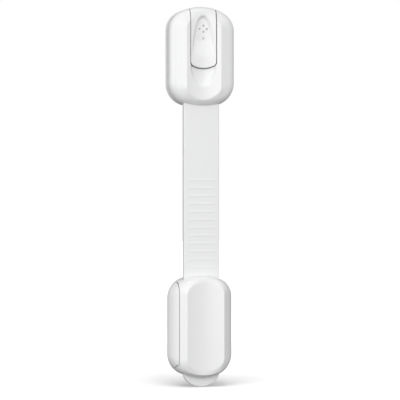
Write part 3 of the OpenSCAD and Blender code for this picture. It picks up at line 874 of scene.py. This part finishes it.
def build_anchor_shell():
    g = anchor_form()
    r, c = g.shape[:2]
    bm = bmesh.new()
    vs = [[bm.verts.new((p[0], -p[1], p[2])) for p in row] for row in g]
    for i in range(r - 1):
        for j in range(c):
            k = (j + 1) % c
            bm.faces.new((vs[i][j], vs[i + 1][j], vs[i + 1][k], vs[i][k]))
    bm.faces.new(list(reversed(vs[-1])))
    bmesh.ops.recalc_face_normals(bm, faces=bm.faces)
    # outward normals: the middle faces look to -Y
    if bm.faces[len(bm.faces) - 1].normal.y > 0:
        bmesh.ops.reverse_faces(bm, faces=bm.faces)
    # cut lines of the seam and of the strap's ways
    x_lid, x_base = -SEAM_X + 0.27, -SEAM_X + 0.27 - SLIT
    z_lid, z_base = -20.15, -20.15 + SLIT
    x_turn, z_lean, lean, steep = -14.15, 22.0, 0.22, 3.0
    x_turn_base = x_turn - 0.25
    for co, no in (((x_lid, 0, 0), (1, 0, 0)), ((x_base, 0, 0), (1, 0, 0)), ((x_lid, 0, z_lean), (1, 0, -lean)),
                   ((x_base, 0, z_lean), (1, 0, -lean)), ((0, 0, z_lid), (0, 0, 1)),
                   ((0, 0, z_base), (0, 0, 1)), ((x_turn, 0, z_lid), (-steep, 0, 1)),
                   ((x_turn_base, 0, z_base), (-steep, 0, 1))):
        bmesh.ops.bisect_plane(bm, geom=bm.verts[:] + bm.edges[:] + bm.faces[:], plane_co=co, plane_no=no, dist=1e-5)
    way_x, way_d = 10.15, 8.95
    for co, no in (((way_x, 0, 0), (1, 0, 0)), ((-way_x, 0, 0), (1, 0, 0)), ((0, -way_d, 0), (0, 1, 0))):
        bmesh.ops.bisect_plane(bm, geom=bm.verts[:] + bm.edges[:] + bm.faces[:], plane_co=co, plane_no=no, dist=1e-5)
    lid, base, gone = [], [], []
    for f in bm.faces:
        m = f.calc_center_median()
        if abs(m.x) < way_x and -m.y < way_d and abs(m.z) > 20:
            gone.append(f)
        elif m.x < x_base + lean * max(0, m.z - z_lean) and m.z > z_base + steep * min(0, m.x - x_turn_base) and -m.y < SEAM_D + 1.5:
            base.append(f)
        elif m.x < x_lid + lean * max(0, m.z - z_lean) and m.z > z_lid + steep * min(0, m.x - x_turn) and -m.y < SEAM_D + 1.5:
            gone.append(f)
        else:
            lid.append(f)
    parts = {}
    for name, keep in (("lid", lid), ("base", base)):
        part = bmesh.new()
        remap = {}
        for f in keep:
            verts = []
            for v in f.verts:
                if v not in remap:
                    remap[v] = part.verts.new(v.co)
                verts.append(remap[v])
            try:
                part.faces.new(verts)
            except ValueError:
                pass
        part.normal_update()
        parts[name] = part
    bm.free()
    return parts


def finish_bm(bm, name, mat, body, replaces=(), sharp=45):
    """Turns a millimetre bmesh (x, y, z) into a piece."""
    for v in bm.verts:
        v.co *= MM
    me = bpy.data.meshes.new(name)
    bm.to_mesh(me)
    bm.free()
    me.materials.append(mat)
    me.shade_smooth()
    me.set_sharp_from_angle(angle=math.radians(sharp))
    o = bpy.data.objects.new(name, me)
    SCENE.collection.objects.link(o)
    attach(o, body)
    if replaces:
        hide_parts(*replaces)
    return o


def thicken(bm, t):
    """Copies the skin inward by t and joins the two along every open edge."""
    bm.normal_update()
    outer_faces = list(bm.faces)
    open_edges = [e for e in bm.edges if len(e.link_faces) == 1]
    twin = {}
    for v in list(bm.verts):
        twin[v] = bm.verts.new(v.co - v.normal * t)
    for f in outer_faces:
        try:
            bm.faces.new([twin[v] for v in reversed(f.verts)])
        except ValueError:
            pass
    for e in open_edges:
        f = e.link_faces[0]
        a, c = e.verts
        loop = [l for l in f.loops if l.edge == e][0]
        a, c = loop.vert, loop.link_loop_next.vert
        try:
            bm.faces.new((c, a, twin[a], twin[c]))
        except ValueError:
            pass
    bm.normal_update()


def add_build(bm, b):
    """Adds the pieces of a Build (x, depth, z in mm) to a bmesh in (x, y, z) mm."""
    v = np.concatenate(b.v)
    new = [bm.verts.new((p[0], -p[1], p[2])) for p in v]
    faces = []
    for f in b.f:
        try:
            faces.append(bm.faces.new([new[i] for i in f]))
        except ValueError:
            pass
    bmesh.ops.recalc_face_normals(bm, faces=faces)


HX, HD = 15.8, 3.2


def build_anchor():
    parts = build_anchor_shell()
    lid = parts["lid"]
    thicken(lid, 1.5)
    for v in lid.verts:
        # the strap's ways stay open
        x, d = v.co.x, -v.co.y
        if abs(v.co.z) > 20 and abs(x) < 10.15 and d < 8.95:
            if 8.95 - d < 10.15 - abs(x):
                v.co.y = -8.95
            else:
                v.co.x = math.copysign(10.15, x)
    b = Build()
    for s in (-1, 1):
        b.box(min(s * 8.9, s * 9.7), max(s * 8.9, s * 9.7), 9.3, 13.6, -18.2, 18.2, 0.15)
        b.box(-9.7, 9.7, 9.3, 13.6, min(s * 17.4, s * 18.2), max(s * 17.4, s * 18.2), 0.15)
    # stiffening rib behind the free edge
    b.box(-12.9, -12.1, 6.0, 11.6, -14, 14, 0.2)
    # knuckles with their bores
    for z0, z1 in ((-11.75, 11.75), (15.05, 17.7), (-17.7, -15.05)):
        h = z1 - z0
        b.turned([(0.86, 0.15), (0.95, 0.02), (1.8, 0.0), (1.95, 0.08), (2.0, 0.25), (2.0, h - 0.25), (1.95, h - 0.08),
                  (1.8, h), (0.95, h - 0.02), (0.86, h - 0.15), (0.86, 0.15)], (HX, HD, z0), "z", 40)
    add_build(lid, b)
    finish_bm(lid, "anchor_lid_shell", SHELL, "lid", ["anchor_lid"], 45)

    wall = parts["base"]
    thicken(wall, 1.5)
    b = Build()
    # floor: the right side is cut back for the hinge
    def ring(inset, d):
        q = anchor_ring(inset, d)
        x, z = q[:, 0].copy(), q[:, 1]
        cut = (np.abs(z) < 22.9) & (x > 13.4 - inset)
        x[cut] = 13.4 - inset
        return np.stack([x, np.full(len(x), d), z], 1)
    e = 0.2
    rows = [ring(e, 1.0), ring(e * 0.3, 1.0 + e * 0.3), ring(0, 1.0 + e), ring(0, 1.7), ring(0, 2.25), ring(0, 3.0 - e),
            ring(e * 0.3, 3.0 - e * 0.3), ring(e, 3.0)]
    b.grid(rows, closed=True)
    for s, d in ((rows[0], 1.0), (rows[-1], 3.0)):
        inner = s.copy()
        inner[:, 0] *= 0.5
        inner[:, 2] *= 0.5
        b.grid([s, inner], closed=True)
        b.ring_face(inner)
    for s in (-1, 1):
        b.box(min(s * 10.1, s * 11.5), max(s * 10.1, s * 11.5), 2.9, 8.3, -22.4, 22.4, 0.2)
        b.box(min(s * 4, s * 6), max(s * 4, s * 6), 2.9, 5.3, -24.4, 24.4, 0.2)
        b.box(HX - 3, HX - 0.6, 1.3, HD + 0.3, min(s * 12, s * 14.8), max(s * 12, s * 14.8), 0.2)
        h = 2.8
        z0 = 12 if s > 0 else -14.8
        b.turned([(0.82, 0.1), (0.9, 0.0), (1.75, 0.0), (1.9, 0.15), (1.9, h - 0.15), (1.75, h), (0.9, h), (0.82, h - 0.1),
                  (0.82, 0.1)], (HX, HD, z0), "z", 40)
    for z in (-20, 0, 20):
        b.box(-10.3, 10.3, 2.9, 5.0, z - 0.6, z + 0.6, 0.15)
    add_build(wall, b)
    finish_bm(wall, "anchor_base_body", SHELL, "anchor", ["anchor_base"], 45)

    # comb under the lid
    b = Build()
    b.box(-8.7, 8.7, 9.75, 13.1, -17.2, 17.2, 0.15)
    for i in range(8):
        z = (i - 3.5) * 4.2
        x = np.linspace(-7.6, 7.6, 12)
        prof = [(-1.1, 9.78), (-0.8, 9.5), (-0.35, 9.24), (0, 9.2), (0.35, 9.24), (0.8, 9.5), (1.1, 9.78)]
        g = np.array([[(xx, d, z + q) for q, d in prof] for xx in x])
        b.grid(g)
        for k in (0, -1):
            b.ring_face(g[k])
    b.done("grip_comb_pad", INNER_GREY_GAP_SHADE, "lid", slot="inner_plastic", replaces=["grip_comb"], sharp=40)

    # pin with turned ends
    b = Build()
    b.turned([(0.01, 0), (0.6, 0.0), (0.75, 0.12), (0.8, 0.3), (0.8, 33.7), (0.75, 33.88), (0.6, 34.0), (0.01, 34.0)],
             (HX, HD, -17), "z", 32)
    b.done("hinge_pin_rod", STEEL, "anchor", slot="steel", replaces=["lid_hinge_pin"], sharp=50)


# ------------------------------------------------------------------ strap
ST_W, ST_FRONT, ST_BACK = 9.8, 8.6, 5.4
TAIL, TAIL_R, TAIL_CROWN = -31.9, 5.5, 11.3
TAIL_SIDE = ST_W - TAIL_R
TAIL_RISE = TAIL_CROWN - math.sqrt((TAIL_CROWN - TAIL_R) ** 2 - TAIL_SIDE ** 2)
TAIL_TOUCH = TAIL_CROWN * TAIL_SIDE / (TAIL_CROWN - TAIL_R)


def tail_distance(x, z):
    """Distance from a point to the strap's outline, inside its rounded end."""
    ax = np.abs(x)
    crown = TAIL_CROWN - np.hypot(x, z - (TAIL + TAIL_CROWN))
    corner = TAIL_R - np.hypot(ax - TAIL_SIDE, z - (TAIL + TAIL_RISE))
    # the crown counts where the ray from its centre meets it between the corners
    slope = TAIL_SIDE / (TAIL_CROWN - TAIL_RISE)
    e = np.where(ax < slope * ((TAIL + TAIL_CROWN) - z), crown, corner)
    return np.where(z > TAIL + TAIL_RISE, ST_W - ax, e)


def tail_width(z):
    h = z - TAIL
    if h >= TAIL_RISE:
        return ST_W
    x = math.sqrt(max(TAIL_CROWN ** 2 - (TAIL_CROWN - h) ** 2, 0.0))
    if x > TAIL_TOUCH:
        x = TAIL_SIDE + math.sqrt(max(TAIL_R ** 2 - (TAIL_RISE - h) ** 2, 0.0))
    return x
RIDGE_TOP, PITCH, RIDGES = 77.7, 4.2, 24


def ridge_height(x, z):
    """Low rounded cross ridges that fade out before the strap's edges."""
    k = np.round((RIDGE_TOP - z) / PITCH)
    q = z - (RIDGE_TOP - k * PITCH)
    on = (k >= 0) & (k < RIDGES)
    bumpy = 0.10 * smoothstep((1.0 - np.abs(q)) / 1.0)
    ends = smoothstep((7.6 - np.abs(x)) / 0.8)
    return np.where(on, bumpy * ends, 0.0)


def strap_grid(zs):
    """Closed sections of the strap at the heights zs."""
    r = 0.5
    rows = []
    for z in zs:
        w = tail_width(z)
        off = np.array([0, 0.03, 0.1, 0.2, 0.34, 0.5]) * min(1.0, w / 1.2)
        mid = np.linspace(-1, 1, 39)[1:-1] * (w - off[-1])
        xs = np.concatenate([-w + off, mid, w - off[::-1]])
        e = tail_distance(xs, z)
        front = ST_FRONT - drop(e, r) + ridge_height(xs, z)
        backd = ST_BACK + drop(e, r)
        ring = [(x, d, z) for x, d in zip(xs, front)] + [(x, d, z) for x, d in zip(xs[::-1], backd[::-1])]
        rows.append(ring)
    return np.array(rows)


def strap_heights(z0, z1):
    return np.linspace(z0, z1, max(2, int(round((z1 - z0) / 0.3)) + 1))


def build_strap():
    tip = [TAIL + TAIL_RISE * (1 - math.cos(a)) for a in np.linspace(0.004, math.pi / 2, 30)]
    b = Build()
    zs = np.concatenate([tip, strap_heights(TAIL + TAIL_RISE, 66.9)[1:]])
    g = strap_grid(zs)
    b.grid(g, closed=True)
    b.ring_face(g[0])
    b.done("strap_straight", STRAP, "strap_tail", slot="strap_white", replaces=["strap_tail"], sharp=50)
    cuts = [66.9, 75.9, 84.9, 93.9, 102.9, 111.9]
    nodes = ["strap_segment_1", "strap_segment_2", "strap_segment_3", "strap_segment_4", None]
    for i in range(5):
        b = Build()
        b.grid(strap_grid(strap_heights(cuts[i], cuts[i + 1])), closed=True)
        o = b.done(f"strap_bend_{i + 1}", STRAP, sharp=50)
        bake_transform(o)
        if nodes[i]:
            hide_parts(nodes[i])
    b = Build()
    g = strap_grid(strap_heights(111.9, 127.3))
    b.grid(g, closed=True)
    b.ring_face(g[-1])
    b.done("strap_end", STRAP, "latch", slot="strap_white", replaces=["strap_head"], sharp=50)


def build_spring():
    """Return spring of the button, as a swept wire with closed end turns."""
    r, wire, z0, z1, turns = 1.4, 0.22, ZC + 12.05, ZC + 22.35, 8
    dead = wire * 2.1
    live = z1 - z0 - 2 * wire - 2 * dead
    rows = []
    for i in range(turns * 28 + 1):
        t = i / 28
        h = dead * t if t < 1 else dead + live + dead * (t - turns + 1) if t > turns - 1 else \
            dead + live * (t - 1) / (turns - 2)
        a = 2 * math.pi * t
        row = []
        for k in range(10):
            q = 2 * math.pi * k / 10
            rr = r + wire * math.cos(q)
            row.append((rr * math.cos(a), 7.2 + rr * math.sin(a), z0 + wire + h + wire * math.sin(q)))
        rows.append(row)
    b = Build()
    b.grid(rows, closed=True)
    b.ring_face(rows[0])
    b.ring_face(rows[-1])
    o = b.done("return_spring", WIRE, "latch", slot="spring_steel", replaces=["button_spring"], sharp=60)
    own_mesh(o)


# ------------------------------------------------------------------ build everything
build_latch_cover()
build_button()
build_latch_plates()
build_tapes()
build_anchor()
build_strap()
build_spring()
build_slider()

for node, mat in (("latch_screws", STEEL), ("catch_spring", WIRE)):
    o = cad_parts[node]
    o.data.materials.clear()
    o.data.materials.append(mat)

# ------------------------------------------------------------------ floor, light
floor_mat, nt, bsdf = new_material("floor")
nt.nodes.remove(bsdf)
out = [n for n in nt.nodes if n.type == "OUTPUT_MATERIAL"][0]
dif = nt.nodes.new("ShaderNodeBsdfDiffuse")
emi = nt.nodes.new("ShaderNodeEmission")
add = nt.nodes.new("ShaderNodeAddShader")
geo = nt.nodes.new("ShaderNodeTexCoord")
fine = noise(nt, geo.outputs["Object"], 6.0, 2.0, 0.5)
nt.links.new(colour_mix(nt, fine, (0.84, 0.84, 0.84), (0.85, 0.85, 0.85)), dif.inputs["Color"])
emi.inputs["Color"].default_value = (1, 1, 1, 1)
# painted shade and glow: the floor glows weakly near the object and up to full white further out; the far glow keeps
# the floor white to the horizon, and the weaker glow near the object paints the floor darker around it, on top of its
# real contact shadow
far = nt.nodes.new("ShaderNodeVectorMath")
far.operation = "LENGTH"
nt.links.new(geo.outputs["Object"], far.inputs[0])
nt.links.new(ramp(nt, far.outputs["Value"], 0.02, 0.30, 0.11, 1.05), emi.inputs["Strength"])
nt.links.new(dif.outputs[0], add.inputs[0])
nt.links.new(emi.outputs[0], add.inputs[1])
nt.links.new(add.outputs[0], out.inputs["Surface"])
me = bpy.data.meshes.new("floor")
S = 3.0
zf = -0.0319
me.from_pydata([(-S, -S, zf), (S, -S, zf), (S, S, zf), (-S, S, zf)], [], [(0, 1, 2, 3)])
me.materials.append(floor_mat)
floor = bpy.data.objects.new("floor", me)
SCENE.collection.objects.link(floor)
floor.visible_diffuse = False
floor.visible_glossy = False
floor.visible_transmission = False
floor.visible_shadow = False          # light bounced up by the white table reaches the object
floor_mat.cycles.emission_sampling = "NONE"

world = bpy.data.worlds.new("world")
SCENE.world = world
world.use_nodes = True
wt = world.node_tree
wt.nodes.clear()
wout = wt.nodes.new("ShaderNodeOutputWorld")
coord = wt.nodes.new("ShaderNodeTexCoord")
sep = wt.nodes.new("ShaderNodeSeparateXYZ")
wt.links.new(coord.outputs["Generated"], sep.inputs[0])
# soft room light: an even part, more from above, a little more from the sides
front = maths(wt, "MULTIPLY", maths(wt, "MINIMUM", sep.outputs["Y"], 0.0), -1.8)
above = maths(wt, "MULTIPLY", maths(wt, "MAXIMUM", sep.outputs["Z"], 0.0), maths(wt, "ADD", front, 0.14))
right = maths(wt, "MULTIPLY", maths(wt, "MAXIMUM", sep.outputs["X"], 0.0), 0.19)
left = maths(wt, "MULTIPLY", maths(wt, "MINIMUM", sep.outputs["X"], 0.0), -0.128)
level = maths(wt, "ADD", maths(wt, "ADD", maths(wt, "ADD", above, right), left), 0.167)
bg_light = wt.nodes.new("ShaderNodeBackground")
bg_light.inputs["Color"].default_value = (1, 1, 1, 1)
wt.links.new(level, bg_light.inputs["Strength"])
bg_seen = wt.nodes.new("ShaderNodeBackground")
bg_seen.inputs["Color"].default_value = (1, 1, 1, 1)
bg_seen.inputs["Strength"].default_value = 1.0
path = wt.nodes.new("ShaderNodeLightPath")
mixw = wt.nodes.new("ShaderNodeMixShader")
wt.links.new(path.outputs["Is Camera Ray"], mixw.inputs["Fac"])
wt.links.new(bg_light.outputs[0], mixw.inputs[1])
wt.links.new(bg_seen.outputs[0], mixw.inputs[2])
wt.links.new(mixw.outputs[0], wout.inputs["Surface"])


def area(name, azimuth, elevation, distance, size, power, target=(0, 0, 0.07)):
    a, e = math.radians(azimuth), math.radians(elevation)
    direction = Vector((math.sin(a) * math.cos(e), -math.cos(a) * math.cos(e), math.sin(e)))
    li = bpy.data.lights.new(name, "AREA")
    li.shape = "RECTANGLE"
    li.size, li.size_y = size
    li.energy = power
    o = bpy.data.objects.new(name, li)
    SCENE.collection.objects.link(o)
    o.location = Vector(target) + direction * distance
    o.rotation_mode = "QUATERNION"
    o.rotation_quaternion = direction.to_track_quat("Z", "Y")
    o.visible_camera = False
    return o


area("key", -5, 10, 1.25, (0.8, 0.8), 5.45)
area("left_front", -55, 10, 1.25, (0.8, 0.8), 3.4)
area("left_side", -80, 5, 1.25, (0.8, 0.8), 2.5)
# soft light from the front and above that only the table receives: it draws the object's contact shadow
table_light = area("table_light", -25, 60, 1.2, (0.85, 0.85), 6.3, (0, 0, -0.03))
table_only = bpy.data.collections.new("table_only")
table_only.objects.link(floor)
table_light.light_linking.receiver_collection = table_only
